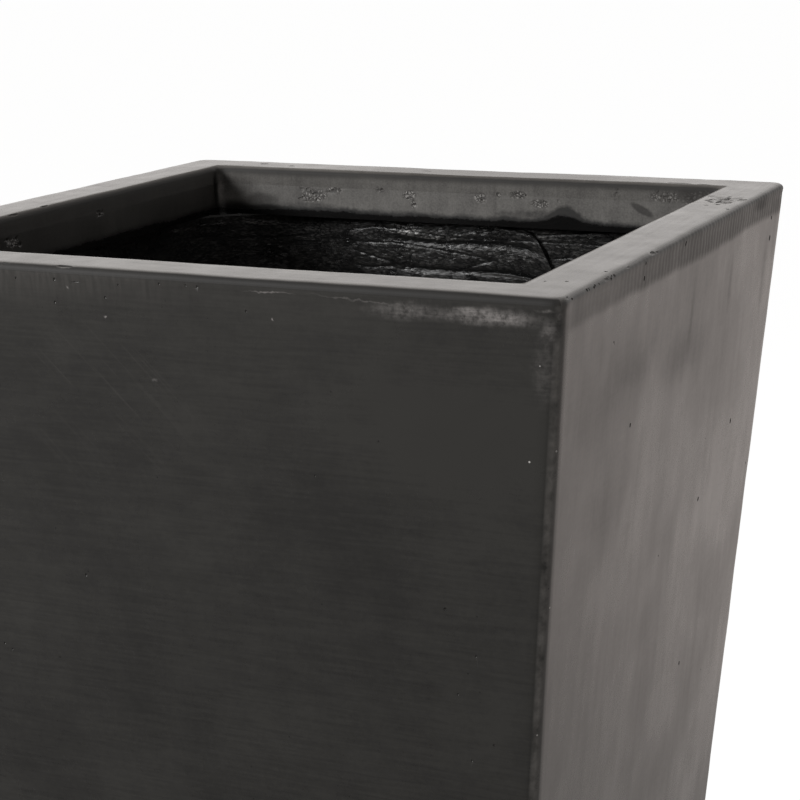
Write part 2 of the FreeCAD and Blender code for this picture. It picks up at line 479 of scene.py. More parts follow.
# lining sheets: grids that are laid on the walls row by row, then wrinkled
liningSettings = {
    "stripThickness": 0.002,
    "matThickness": 0.003,
    "farEdge": 0.095,        # mat edges, measured from the stone's inner corner
    "nearEdge": 0.074,
    "farLap": 0.070,         # how far a strip runs on under the mat
    "nearLap": 0.035,
    "shoulder": (0.0288, 0.006, 1.75),   # torn upper corner of a mat: reach, softness, fall
    "cutShare": 0.78,        # how much the tear cuts across the wrinkles, the rest follows it
    "nearFeather": (0.046, 0.06),   # the mat thins out towards its near edge: width, and share left
    "farCalm": (0.006, 0.5),        # and its wrinkles sink at its far edge
    "stripRelief": (0.8, 0.04),     # share of the wrinkles on a strip's far leg, and from the corner on
    "stripFade": 0.012,
    "underMat": (0.0008, 0.004),    # a strip sinks under the mat by this, over this run
    "columns": 150,
    "fineRows": 92,          # rows in the top zone, which the mouth shows
    "coarseRows": 100,
    "fineZone": 0.052,
    "tuck": 0.0008,          # gap under the rim
    # wrinkles: length, spacing and height in mm
    "wander": ((38, 30, 1.8), (9, 9, 0.5)),     # the strands drift out of line
    "crinkle": (3.0, 1.5, 0.16),                # small folds of the tissue
    "crackWidth": 0.34,
    "crackShade": 0.75,
    "fold": (5.0, 2.4, 0.12),
    "lump": (40, 16, 0.25),
    "groove": (75, 8.5, 0.42),
    "grooveWidth": 0.055,
    # run of resin along the top of a corner strip: spacing, height, depth and half width in mm
    "bead": (4.0, 0.7, 4.4, 0.6),
    "beadBias": 0.15,
    "beadReach": (0.14, 0.42),      # it fades between these shares of the corner
    # grooves and bulges of the back mat: along and below the top edge, half sizes and height in mm
    "backFolds": (
        (0, 11.3, 62, 2.2, -0.8), (10, 27.0, 62, 1.8, -0.9), (38, 28.0, 30, 1.0, -0.8),
        (50, 31.0, 18, 0.9, -0.8), (-34, 7.0, 12, 2.4, 0.4), (-72, 9.0, 9, 1.6, 0.2),
        (-8, 7.5, 34, 2.4, 0.2), (6, 19.0, 60, 4.0, 0.15),
    ),
    "foldCore": 0.55,
    "shadeAngle": 60,
    # the floor mat
    "floorCuts": 90,
    "floorMargin": 0.02,
    "floorDrop": 0.0006,     # room for its wrinkles
    "floorRelief": 0.4,
    "floorSeed": 91,
    "floorShadeAngle": 50,
    "outlineHeights": (0.01, 0.05),
    "cutDepth": 0.2,
}


def rowShares(s, height):
    fine = s["fineZone"] / height
    low = [(1 - fine) * i / s["coarseRows"] for i in range(s["coarseRows"])]
    return low + [1 - fine + fine * i / s["fineRows"] for i in range(s["fineRows"] + 1)]


# height of the wrinkles, and how deep in a crease it is, at a place on a sheet along and across the strands
def wrinkle(s, along, across, seed, folds=()):
    a, c = along / mm, across / mm
    drift = 0.0
    for length, spacing, height in s["wander"]:
        drift += height * noise.noise(Vector((a / length, c / spacing, seed)))
    c += drift
    length, spacing, height = s["crinkle"]
    near = noise.voronoi(Vector((a / length, c / spacing, seed)))[0]
    crack = 1 - easeIn(near[1] - near[0], 0.0, s["crackWidth"])
    lift = -height * crack
    for key, shift in (("fold", 7), ("lump", 3)):
        length, spacing, height = s[key]
        lift += height * noise.noise(Vector((a / length, c / spacing, seed + shift)))
    length, spacing, height = s["groove"]
    groove = noise.noise(Vector((a / length, c / spacing, seed + 11)))
    groove = math.exp(-(groove / s["grooveWidth"]) ** 2)
    lift -= height * groove
    crease = max(s["crackShade"] * crack, groove)
    for middle, depth, halfLength, halfWidth, rise in folds:
        share = math.exp(-((c - depth) / halfWidth) ** 2)
        share *= 1 - easeIn(abs(a - middle), s["foldCore"] * halfLength, halfLength)
        lift += rise * share
        if rise < 0:
            crease = max(crease, share)
    return lift * mm, crease


# the unrolled position is kept as the UV map, and the crease as an attribute
def keepFlat(sheet, flat, creases):
    unrolledMap = sheet.data.uv_layers.active.data
    for loop in sheet.data.loops:
        unrolledMap[loop.index].uv = flat[loop.vertex_index]
    sheet.data.attributes.new("crease", "FLOAT", "POINT").data.foreach_set("value", creases)


# lays a grid on a wall: place gives the spot, the unrolled position and the crease for a share across and up
def laySheet(name, s, rows, place, thickness):
    deselect()
    bpy.ops.mesh.primitive_grid_add(x_subdivisions=s["columns"], y_subdivisions=len(rows) - 1, size=1)
    sheet = bpy.context.object
    sheet.name = name
    flat, creases = [], []
    for vertex in sheet.data.vertices:
        row = round((vertex.co.y + 0.5) * (len(rows) - 1))
        vertex.co, unrolled, crease = place(vertex.co.x + 0.5, rows[row])
        flat.append(unrolled)
        creases.append(crease)
    keepFlat(sheet, flat, creases)
    middle = sheet.data.polygons[len(sheet.data.polygons) // 2]
    outwards = Vector((middle.center.x, middle.center.y, 0))
    if middle.normal.dot(outwards) > 0:         # the front looks into the planter
        pickOnly(sheet, "EDIT")
        bpy.ops.mesh.select_all(action="SELECT")
        bpy.ops.mesh.flip_normals()
    applyModifier(sheet, "SOLIDIFY", thickness=thickness, offset=-1)
    smoothShade(sheet, s["shadeAngle"])
    return sheet


def buildWallMat(name, s, quarter):
    low, high = matFloor, rimUnderside - s["tuck"]
    left, right = s["nearEdge"] - liningHalf(high, 0), liningHalf(high, 0) - s["farEdge"]
    reach, softness, fall = s["shoulder"]
    featherWidth, thinnest = s["nearFeather"]
    calmWidth, calmest = s["farCalm"]
    folds = s["backFolds"] if quarter == 0 else ()
    turn = quarterTurn(quarter)

    def place(u, v):
        xTop = left + (right - left) * u
        past = xTop - right + reach
        drop = fall / 2 * (past + math.hypot(past, softness))
        z = low + (high - drop - low) * v
        xLow, xHigh = s["nearEdge"] - liningHalf(z, 0), liningHalf(z, 0) - s["farEdge"]
        flat = (xTop, (1 - v) * (high - low) + s["cutShare"] * drop * v)
        lift, crease = wrinkle(s, flat[0], flat[1], 10 * quarter, folds)
        feather = thinnest + (1 - thinnest) * easeIn(u * (right - left), 0, featherWidth)
        lift *= feather * (calmest + (1 - calmest) * easeIn((1 - u) * (right - left), 0, calmWidth))
        inset = s["stripThickness"] + s["matThickness"] * feather
        x = xLow + (xHigh - xLow) * u
        return turn @ Vector((x, liningHalf(z, inset) - lift, z)), flat, crease

    return laySheet(name, s, rowShares(s, high - low), place, s["matThickness"])


def buildCornerStrip(name, s, quarter):
    low, high = matFloor, rimUnderside - s["tuck"]
    inset = s["stripThickness"]
    radius = planter["cavityCorner"] - inset
    farLeg = s["farEdge"] + s["farLap"] - planter["cavityCorner"]
    nearLeg = s["nearEdge"] + s["nearLap"] - planter["cavityCorner"]
    arc = radius * math.pi / 2
    width = farLeg + arc + nearLeg
    underMat = farLeg + arc + s["nearEdge"] - planter["cavityCorner"]
    rough, calm = s["stripRelief"]
    sink, sinkRun = s["underMat"]
    spacing, swell, beadDepth, beadHalf = s["bead"]
    beadFrom, beadTo = (share * arc for share in s["beadReach"])
    turn = quarterTurn(quarter)

    def place(u, v):
        z = low + (high - low) * v
        run = u * width
        half = liningHalf(z, inset)
        middle = half - radius
        flat = (run, (1 - v) * (high - low))
        lift, crease = wrinkle(s, flat[0], flat[1], 10 * quarter + 5)
        lift *= rough + (calm - rough) * easeIn(run, farLeg - s["stripFade"], farLeg + s["stripFade"])
        bead = 1 - easeIn(abs(run - farLeg - arc / 2), beadFrom, beadTo)
        bead *= max(0.0, s["beadBias"] + noise.noise(Vector((run / mm / spacing, quarter, 0.5))))
        lift += bead * swell * mm * math.exp(-((flat[1] / mm - beadDepth) / beadHalf) ** 2)
        lift -= sink * easeIn(run, underMat, underMat + sinkRun)    # flat under the mat
        if run < farLeg:                       # leg on the far wall
            spot = Vector((middle - farLeg + run, half - lift, z))
        elif run < farLeg + arc:               # round the corner
            angle = math.pi / 2 - (run - farLeg) / radius
            out = radius - lift
            spot = Vector((middle + out * math.cos(angle), middle + out * math.sin(angle), z))
        else:                                  # leg on the near wall
            spot = Vector((half - lift, middle - (run - farLeg - arc), z))
        return turn @ spot, flat, crease

    return laySheet(name, s, rowShares(s, high - low), place, inset)


def buildFloorMat(s):
    side, cuts = 2 * liningHalf(matFloor, 0) + s["floorMargin"], s["floorCuts"]
    deselect()
    bpy.ops.mesh.primitive_grid_add(x_subdivisions=cuts, y_subdivisions=cuts, size=side)
    mat = bpy.context.object
    mat.name = "floorLaminate"
    flat, creases = [], []
    for vertex in mat.data.vertices:
        lift, crease = wrinkle(s, vertex.co.x, vertex.co.y, s["floorSeed"])
        vertex.co.z = matFloor - s["floorDrop"] + s["floorRelief"] * lift
        flat.append(vertex.co.xy)
        creases.append(crease)
    keepFlat(mat, flat, creases)
    applyModifier(mat, "SOLIDIFY", thickness=planter["floorMat"] - s["floorDrop"], offset=-1)
    cutAway(mat, drainCutter(s["cutDepth"]))      # the hole comes before the outline, the other order fails
    low, high = s["outlineHeights"]
    corner, steps = planter["cavityCorner"], planter["cavitySteps"]
    outline = taperedCutter(low, liningHalf(low, 0), high, liningHalf(high, 0), corner, steps)
    cutAway(mat, outline, "INTERSECT")
    smoothShade(mat, s["floorShadeAngle"])
    return mat


# soft round patches in one mask: each has its centre, half sizes in mm and strength,
# and may lean by some degrees
def addPatches(add, spot, patches, core):
    total = None
    for centre, sizes, strength, *lean in patches:
        place = {
            "Vector": spot,
            "Location": [c * mm for c in centre],
            "Rotation": (0, math.radians(lean[0]) if lean else 0, 0),
            "Scale": [r * mm for r in sizes],
        }
        offset = add("Mapping", place, vector_type="TEXTURE")
        near = add("TexGradient", (offset,), output="Fac", gradient_type="SPHERICAL")
        fade = {"Value": near, "From Max": 1.0 - core, "To Max": strength}
        patch = add("MapRange", fade, interpolation_type="SMOOTHSTEP")
        total = patch if total is None else add("Math", (total, patch), "ADD")
    return total


# cast stone: dark cement and stone powder, rubbed smooth and sealed,
# so it is nearly black face on and pale at a low angle
castStoneSettings = {
    "sealed": ("191817", "252422"),
    "sanded": "343230",              # coarsely rubbed band under the rim
    "rim": ("524f4c", "65625f"),     # rim top, paler
    "raw": ("4c4a48", "666461"),     # unsealed band inside the mouth
    "crust": ("211f1e", "9c9996"),   # blisters on that band: painted shade in their cracks and a painted highlight on their flakes
    "resin": ("040404", "0d0c0c", "222120"),
    "edge": "11100f",                # eased front edge of the rim
    "wornAndHighlight": "7b7775",
    # pale arrises: wear, and a painted highlight along their middle
    "arris": "63605d",
    "speck": "a29f9c",               # aggregate near the arrises
    "pin": "0c0c0b",                 # pinholes
    "ior": 1.33,
    # noises: size in mm, detail and roughness
    "cloud": (70, 3.0, 0.55),
    "mottle": (14, 4.0, 0.65),
    "fine": (2.4, 2.0, 0.7),
    "grain": (0.9, 2.0, 0.6),
    # drawn-out patterns: sizes in mm along x and y, and along z
    "streak": (5.5, 142.86),
    "stroke": (26, 1.4),
    "scratch": (70, 1.5),
    "scratchLean": 45,               # degrees
    "striation": (1.7, 16.667),
    "resinWander": (26.316, 200),
    "rimLine": (62.5, 2.381),        # along and across a side of the rim
    # spacings in mm
    "drift": 9.091,
    "chatter": 5.0,
    "flake": 1.9,
    "speckSpacing": 5.0,
    # how far patches are drawn out of line, in m
    "nudged": (0.003, 0.003, 0.0015),
    "ragged": (0.010, 0.010, 0.006),
    "curled": (0.007, 0.007, 0.007),
    "torn": (0.006, 0.006, 0.005),
    # rubbed pale: smear at the top of the front, fresh break in the rim scar, small light knocks, and a
    # painted highlight down the back left inner corner
    "wornAndHighlightPatches": (
        ((116, -179.2, 641.0), (26, 9, 5.0), 0.36),
        ((150, -179.2, 641.4), (27, 9, 4.8), 0.64),
        ((142, -179.3, 643.4), (12, 9, 1.7), 0.45),
        ((156, -179.0, 640.6), (12, 9, 3.2), 0.45),
        ((174, -178.8, 637.0), (6, 9, 6), 0.35),
        ((172, -179.4, 645.0), (6, 6, 0.9), 0.40),
        ((178, -178.8, 643.0), (1.8, 5, 3.5), 0.45),
        ((172, -178.0, 620), (8, 9, 20), 0.14),
        ((54, -179.6, 645.1), (14, 6, 0.6), 0.55),
        ((94, -179.5, 644.3), (26, 6, 0.6), 0.28, 3),
        ((-24, -178.4, 629.2), (0.9, 2, 0.9), 1.2),
        ((56, -178.7, 633.4), (0.9, 2, 0.9), 1.2),
        ((169, 98, 649.4), (5.0, 6.0, 2.4), 1.3),
        ((158, 79, 650), (1.2, 1.6, 1), 1.6),
        ((-168, -8, 650), (0.9, 1.6, 1), 1.6),
        ((-41, -179.3, 641), (0.8, 2, 1.0), 1.0),
        ((-2, -176, 603), (2.0, 6, 0.9), 0.35),
        # painted highlight: pale strip down the back left inner corner
        ((-151, 152, 637.5), (2.8, 5, 9), 1.5),
    ),
    # dull and darker, or clearer where negative: soft clouds on the rim and the faces
    "dullPatches": (
        ((0, 166, 650), (100, 24, 12), 1.6), ((60, 166, 650), (60, 24, 12), 0.8),
        ((81, -177, 618), (26, 16, 17), 0.6), ((-18, -173, 567), (13, 16, 12), 0.6),
        ((10, -172, 560), (15, 16, 11), 0.6), ((90, -178, 626), (16, 14, 12), 0.4),
        ((-50, -176, 606), (70, 16, 26), 0.5), ((130, -177, 595), (80, 20, 50), -1.4),
        ((177, -70, 611), (14, 55, 22), 0.5), ((175, 8, 590), (14, 48, 20), 0.65),
        ((176, -76, 600), (14, 46, 19), 0.8),
        ((175, -36, 594), (14, 70, 24), 0.3), ((175, -120, 589), (14, 50, 32), 0.5),
        ((172, -100, 545), (14, 60, 46), 0.3), ((177, 10, 608), (12, 5, 28), 0.7),
        ((177, 78, 612), (12, 5, 20), 0.7), ((176, 149, 600), (12, 7, 32), 0.8),
        ((163, -20, 425), (20, 70, 50), 0.2),
        ((180, 128, 645), (8, 22, 5), 1.4), ((-120, 175, 580), (70, 16, 40), 0.8),
        ((40, 170, 520), (80, 16, 60), 0.6), ((-175, 60, 590), (16, 70, 30), 0.8),
        ((-165, -70, 470), (16, 80, 60), 0.6), ((-60, 150, 260), (90, 20, 70), 0.6),
    ),
    "scratchPatches": (
        ((-30, -176, 590), (56, 12, 50), 1.0), ((-60, 172, 560), (50, 12, 70), 0.8),
        ((-172, 40, 540), (12, 60, 60), 0.8),
    ),
    "crustPatches": (
        ((-89, 152, 635.2), (10.5, 6, 4.6), 1.0), ((-76, 152, 638.5), (6, 6, 2.0), 1.0),
        ((-47, 152, 640), (3, 6, 1.8), 0.8), ((-29.3, 152, 637.5), (5, 6, 3.2), 1.0),
        ((-26.5, 152, 632.5), (1.8, 6, 2.8), 1.0), ((14.5, 152, 638), (4.4, 6, 3.6), 1.0),
        ((25.4, 152, 640), (1.8, 6, 1.6), 1.0), ((37.5, 152, 640.5), (5.6, 6, 2.8), 1.0),
        ((50, 152, 636), (6, 6, 2.8), 1.0), ((121, 152, 643), (11, 6, 3.4), 0.55),
        ((141, 152, 642), (12, 6, 6), 0.4), ((167, 102, 650), (9, 10, 2), 0.9),
        ((-152, -60, 636), (6, 6, 3), 1.0), ((-70, -152, 640), (7, 6, 3), 1.0),
        ((152, 70, 637), (6, 6, 3), 1.0), ((152, -90, 635), (7, 6, 3), 1.0),
    ),
    # thin film of resin above the black
    "filmPatches": (
        ((48, 152, 630.0), (18, 8, 3.6), 0.75), ((30, 152, 629.5), (9, 8, 2.6), 0.6),
        ((-92, 152, 629), (26, 8, 2.6), 0.7),
    ),
    # where the rubbed band under the rim fades out
    "fadedPatches": (((95, -180, 640), (125, 24, 60), 0.8), ((182, -150, 640), (24, 60, 60), 0.3)),
    # humps of the resin line at the back: along, half width and height in m
    "resinHumps": ((0.065, 0.0105, 0.0078), (-0.085, 0.016, 0.0020), (0.030, 0.006, 0.0010)),
    # black of the resin foot carried higher up the back left inner corner and beside it
    "resinPatches": (
        ((-153, 146.5, 637), (7, 4.0, 18), 0.8), ((-142, 152, 626.5), (18, 8, 5.5), 0.75),
        ((-120, 152, 626), (16, 8, 4.2), 0.75),
    ),
    # dark smears on the back side of the band, and a painted shadow of the left rim across the back left
    # corner
    "stainAndShadowPatches": (
        ((108.5, 152, 635.3), (9.5, 8, 2.8), 1.3, 29), ((-100, 152, 640), (60, 8, 15), 0.25),
        # painted shadow of the left rim, down the diagonal from the back left corner
        ((-140, 152, 640), (14, 8, 9), 0.4), ((-124, 152, 631), (14, 8, 6), 0.8),
        # crust darkened with painted shade at the right end of the band
        ((140, 152, 645), (18, 8, 6), 0.8),
    ),
}


def makeCastStone(s):
    material, add = newMaterial("castStoneSealed")
    spot = add("TexCoord", output="Object")
    x, y, z = add("SeparateXYZ", (spot,)).node.outputs
    facing = add("SeparateXYZ", (add("NewGeometry", output="Normal"),), output=2)
    absX = add("Math", (x,), "ABSOLUTE")
    absY = add("Math", (y,), "ABSOLUTE")
    reach = add("Math", (absX, absY), "MAXIMUM")
    sideways = add("Math", (absX, absY), "GREATER_THAN")       # 1 on the left and right sides
    front = add("Math", (add("Math", (y, -1.0), "MULTIPLY"), absX), "GREATER_THAN")
    atTop = add("Math", (z, 0.64), "GREATER_THAN")
    along = add("Mix", {0: sideways, 2: x, 3: y})
    across = add("Math", (add("Math", (x, y), "ADD"), along), "SUBTRACT")

    # patterns
    cloud, mottle, fine = (
        add("TexNoise", {"Vector": spot, "Scale": 1000 / size, "Detail": detail, "Roughness": rough})
        for size, detail, rough in (s["cloud"], s["mottle"], s["fine"])
    )
    level, tall = s["streak"]
    upright = add("Mapping", {"Vector": spot, "Scale": (1000 / level, 1000 / level, 1000 / tall)})
    streak = add("TexNoise", {"Vector": upright, "Scale": 1.0, "Detail": 4.0, "Roughness": 0.7})
    drift = {"Vector": spot, "Scale": 1000 / s["drift"], "Detail": 3.0, "Roughness": 0.7}
    drift = add("TexNoise", drift, output="Color")
    drift = add("CombineXYZ", tuple(add("SeparateColor", (drift,)).node.outputs))
    drift = add("VectorMath", (drift, (0.5, 0.5, 0.5)), "SUBTRACT")
    nudged = add("VectorMath", (drift, s["nudged"], spot), "MULTIPLY_ADD")
    level, tall = s["stroke"]
    lying = add("Mapping", {"Vector": spot, "Scale": (1000 / level, 1000 / level, 1000 / tall)})
    stroke = add("TexNoise", {"Vector": lying, "Scale": 1.0, "Detail": 3.0, "Roughness": 0.6})

    # sealed faces, darker and duller where they are clouded
    ragged = add("VectorMath", (drift, s["ragged"], spot), "MULTIPLY_ADD")
    dull = addPatches(add, ragged, s["dullPatches"], 0.0)
    tone = add("Math", (fine, 0.2), "MULTIPLY")
    tone = add("Math", (mottle, 0.3, tone), "MULTIPLY_ADD")
    tone = add("Math", (cloud, 0.5, tone), "MULTIPLY_ADD")
    brushed = add("Math", (stroke, 0.5), "SUBTRACT")
    tone = add("Math", (brushed, 0.45, tone), "MULTIPLY_ADD")
    tone = add("Math", (dull, -0.16, tone), "MULTIPLY_ADD")
    tone = add("MapRange", {"Value": tone, "From Min": 0.36, "From Max": 0.62})
    color = add("MixRGB", (tone, s["sealed"][0], s["sealed"][1]))
    clouded = {"Value": cloud, "From Min": 0.35, "From Max": 0.65, "To Min": 0.19, "To Max": 0.28}
    polish = add("MapRange", clouded)
    polish = add("Math", (streak, 0.10, polish), "MULTIPLY_ADD")
    uneven = add("Math", (fine, 0.5), "SUBTRACT")
    polish = add("Math", (uneven, 0.08, polish), "MULTIPLY_ADD")
    polish = add("Math", (dull, 0.10, polish), "MULTIPLY_ADD")

    # scratches across the clouded faces
    level, tall = s["scratch"]
    slant = {"Vector": spot, "Rotation": (0, math.radians(s["scratchLean"]), 0)}
    slant["Scale"] = (level * mm, level * mm, tall * mm)
    slanted = add("Mapping", slant, vector_type="TEXTURE")
    scratch = add("TexNoise", {"Vector": slanted, "Scale": 1.0, "Detail": 2.0})
    scratch = add("MapRange", {"Value": scratch, "From Min": 0.60, "From Max": 0.70, "To Max": 0.3})
    scratch = add("Math", (scratch, addPatches(add, ragged, s["scratchPatches"], 0.4)), "MULTIPLY")
    color = add("MixRGB", (scratch, color, s["sanded"]))

    # rubbed band under the rim: crisp below at the sides, soft on the front,
    # faded out at the front right corner
    inside = add("MapRange", {"Value": reach, "From Min": mouthHalf + 0.0016, "From Max": mouthHalf + 0.0006})
    inside = add("Math", (inside, add("Math", (z, 0.61), "GREATER_THAN")), "MULTIPLY")
    height = add("Math", (cloud, 0.008, z), "MULTIPLY_ADD")
    lowEdge = add("Math", (front, -0.004, 0.6375), "MULTIPLY_ADD")
    highEdge = add("Math", (front, 0.0085, 0.6420), "MULTIPLY_ADD")
    band = {"Value": height, "From Min": lowEdge, "From Max": highEdge}
    sanded = add("MapRange", band, interpolation_type="SMOOTHSTEP")
    faded = addPatches(add, spot, s["fadedPatches"], 0.5)
    kept = add("Math", (1.0, faded), "SUBTRACT", use_clamp=True)
    sanded = add("Math", (sanded, kept), "MULTIPLY")
    sanded = add("Math", (sanded, add("Math", (1.0, inside), "SUBTRACT")), "MULTIPLY")
    phase = add("Math", (along, 2000 * math.pi / s["chatter"]), "MULTIPLY")
    phase = add("Math", (mottle, 9.0, phase), "MULTIPLY_ADD")
    ripple = {"Value": y, "From Min": -0.16, "From Max": 0.02, "To Min": 0.06, "To Max": 0.30}
    wave = add("Math", (phase,), "SINE")
    chatter = add("Math", (wave, add("MapRange", ripple), 0.5), "MULTIPLY_ADD")
    level, tall = s["striation"]
    scoring = add("Mapping", {"Vector": spot, "Scale": (1000 / level, 1000 / level, 1000 / tall)})
    scoring = add("TexNoise", {"Vector": scoring, "Scale": 1.0, "Detail": 1.0})
    scoring = add("MapRange", {"Value": scoring, "From Min": 0.30, "From Max": 0.68, "To Max": 0.8})
    scored = add("Mix", {0: front, 2: chatter, 3: scoring})
    scored = add("Math", (scored, 0.7, 0.3), "MULTIPLY_ADD")
    sanded = add("Math", (sanded, scored), "MULTIPLY")
    color = add("MixRGB", (add("Math", (sanded, front), "MULTIPLY"), color, s["sanded"]))
    coarse = add("Math", (front, -0.18, 0.30), "MULTIPLY_ADD")
    polish = add("Math", (sanded, coarse, polish), "MULTIPLY_ADD")

    # worn arrises, with a painted highlight along their middle line
    corner = add("Math", (z, -slope, 0.007 - planter["base"] / 2), "MULTIPLY_ADD")
    corner = add("Math", (add("Math", (absX, absY), "MINIMUM"), corner), "ADD")
    arris = add("MapRange", {"Value": corner, "From Min": 0.0034, "From Max": 0.0054})
    bare = add("MapRange", {"Value": mottle, "From Min": 0.35, "From Max": 0.6})
    color = add("MixRGB", (add("Math", (arris, bare), "MULTIPLY"), color, s["arris"]))

    # rim top: paler where the faces look up, with rubbing lines along each side, and a dark matt edge along
    # the front
    start = add("Math", (front, 0.36, 0.48), "MULTIPLY_ADD")
    end = add("Math", (front, 0.05, 0.92), "MULTIPLY_ADD")
    rim = add("MapRange", {"Value": facing, "From Min": start, "From Max": end})
    rim = add("Math", (rim, atTop), "MULTIPLY")
    length, width = s["rimLine"]
    drawn = add("CombineXYZ", (along, across, z))
    drawn = add("Mapping", {"Vector": drawn, "Scale": (1000 / length, 1000 / width, 1)})
    lines = add("TexNoise", {"Vector": drawn, "Scale": 1.0, "Detail": 3.0, "Roughness": 0.65})
    rimTone = add("Math", (dull, -0.2), "MULTIPLY")
    rimTone = add("Math", (mottle, 0.5, rimTone), "MULTIPLY_ADD")
    rimTone = add("Math", (lines, 0.3, rimTone), "MULTIPLY_ADD")
    rimTone = add("MapRange", {"Value": rimTone, "From Min": 0.25, "From Max": 0.52})
    pale = add("MixRGB", (rimTone, s["rim"][0], s["rim"][1]))
    color = add("MixRGB", (rim, color, pale))
    smooth = add("MapRange", {"Value": rimTone, "To Min": 0.27, "To Max": 0.17})
    polish = add("Mix", {0: rim, 2: polish, 3: smooth})
    edge = add("MapRange", {"Value": z, "From Min": 0.6462, "From Max": 0.6474})
    turned = add("Math", (front, rim), "SUBTRACT", use_clamp=True)
    edge = add("Math", (edge, turned), "MULTIPLY")
    color = add("MixRGB", (add("Math", (edge, 0.7), "MULTIPLY"), color, s["edge"]))
    polish = add("Math", (polish, add("Math", (edge, 0.65), "MULTIPLY")), "MAXIMUM")

    # unsealed band inside the mouth, mostly at the back, below an eased lip
    lip = {"Value": reach, "From Min": mouthHalf + 0.0040, "From Max": mouthHalf + 0.0020, "To Max": 0.65}
    lip = add("Math", (add("MapRange", lip), atTop), "MULTIPLY")
    polish = add("Math", (polish, lip), "MAXIMUM")
    top = add("Math", (mottle, 0.003, z), "MULTIPLY_ADD")
    raw = {"Value": top, "From Min": 0.6500, "From Max": 0.6455}
    raw = add("MapRange", raw, interpolation_type="SMOOTHSTEP")
    backSide = add("MapRange", {"Value": y, "From Min": 0.146, "From Max": 0.150, "To Min": 0.25})
    raw = add("Math", (raw, add("Math", (inside, backSide), "MULTIPLY")), "MULTIPLY")
    size, detail, rough = s["grain"]
    grain = add("TexNoise", {"Vector": spot, "Scale": 1000 / size, "Detail": detail, "Roughness": rough})
    rawTone = add("Math", (add("Math", (grain, mottle), "ADD"), streak), "ADD")
    rawTone = add("MapRange", {"Value": rawTone, "From Min": 1.15, "From Max": 1.80})
    rawColor = add("MixRGB", (rawTone, s["raw"][0], s["raw"][1]))
    color = add("MixRGB", (raw, color, rawColor))
    polish = add("Math", (raw, 0.35, polish), "MULTIPLY_ADD")

    # blisters and dark smears on the band, with painted shade in the blisters' cracks, a painted highlight on
    # their flakes and a painted shadow in the back left corner
    crust = add("Math", (addPatches(add, nudged, s["crustPatches"], 0.6), 1.0), "MINIMUM")
    curled = add("VectorMath", (drift, s["curled"], spot), "MULTIPLY_ADD")
    flakeReliefAndHighlight = add("TexVoronoi", {"Vector": curled, "Scale": 1000 / s["flake"]}, feature="DISTANCE_TO_EDGE")
    paintedCrackShade = add("MapRange", {"Value": flakeReliefAndHighlight, "From Min": 0.14, "From Max": 0.03, "To Max": 0.8})
    paintedCrackShade = add("Math", (crust, paintedCrackShade), "MULTIPLY")
    flakeReliefAndHighlight = add("MapRange", {"Value": flakeReliefAndHighlight, "From Min": 0.14, "From Max": 0.34, "To Max": 0.75})
    flakeReliefAndHighlight = add("Math", (crust, flakeReliefAndHighlight), "MULTIPLY")
    # painted highlight on the flakes, then painted shade in the cracks
    color = add("MixRGB", (flakeReliefAndHighlight, color, s["crust"][1]))
    color = add("MixRGB", (paintedCrackShade, color, s["crust"][0]))
    # dark smears, and the painted shadow in the back left corner
    stainAndShadow = addPatches(add, nudged, s["stainAndShadowPatches"], 0.4)
    stainAndShadow = add("Math", (stainAndShadow, inside), "MULTIPLY", use_clamp=True)
    color = add("MixRGB", (add("Math", (stainAndShadow, 0.7), "MULTIPLY"), color, s["crust"][0]))

    # rubbed and knocked places, and the painted highlight in the back left inner corner
    rubbed = add("Math", (fine, 0.65), "MULTIPLY")
    rubbed = add("Math", (stroke, 0.35, rubbed), "MULTIPLY_ADD")
    rubbed = add("MapRange", {"Value": rubbed, "From Min": 0.38, "From Max": 0.60, "To Min": 0.2})
    torn = add("VectorMath", (drift, s["torn"], spot), "MULTIPLY_ADD")
    wornAndHighlight = addPatches(add, torn, s["wornAndHighlightPatches"], 0.1)
    wornAndHighlight = add("Math", (wornAndHighlight, rubbed), "MULTIPLY", use_clamp=True)
    color = add("MixRGB", (wornAndHighlight, color, s["wornAndHighlight"]))

    # pale specks of aggregate near the arrises, and pinholes all over
    cells = add("TexVoronoi", {"Vector": spot, "Scale": 1000 / s["speckSpacing"]}).node
    chance = add("SeparateColor", (cells.outputs["Color"],))
    dots = add("MapRange", {"Value": cells.outputs["Distance"], "From Min": 0.10, "From Max": 0.06})
    often = add("MapRange", {"Value": corner, "From Min": -0.020, "From Max": 0.004, "To Max": 0.46})
    chosen = add("Math", (add("Math", (chance, often), "ADD"), 1.2), "GREATER_THAN")
    color = add("MixRGB", (add("Math", (dots, chosen), "MULTIPLY"), color, s["speck"]))
    chosen = add("Math", (chance, 0.03), "LESS_THAN")
    color = add("MixRGB", (add("Math", (dots, chosen), "MULTIPLY"), color, s["pin"]))

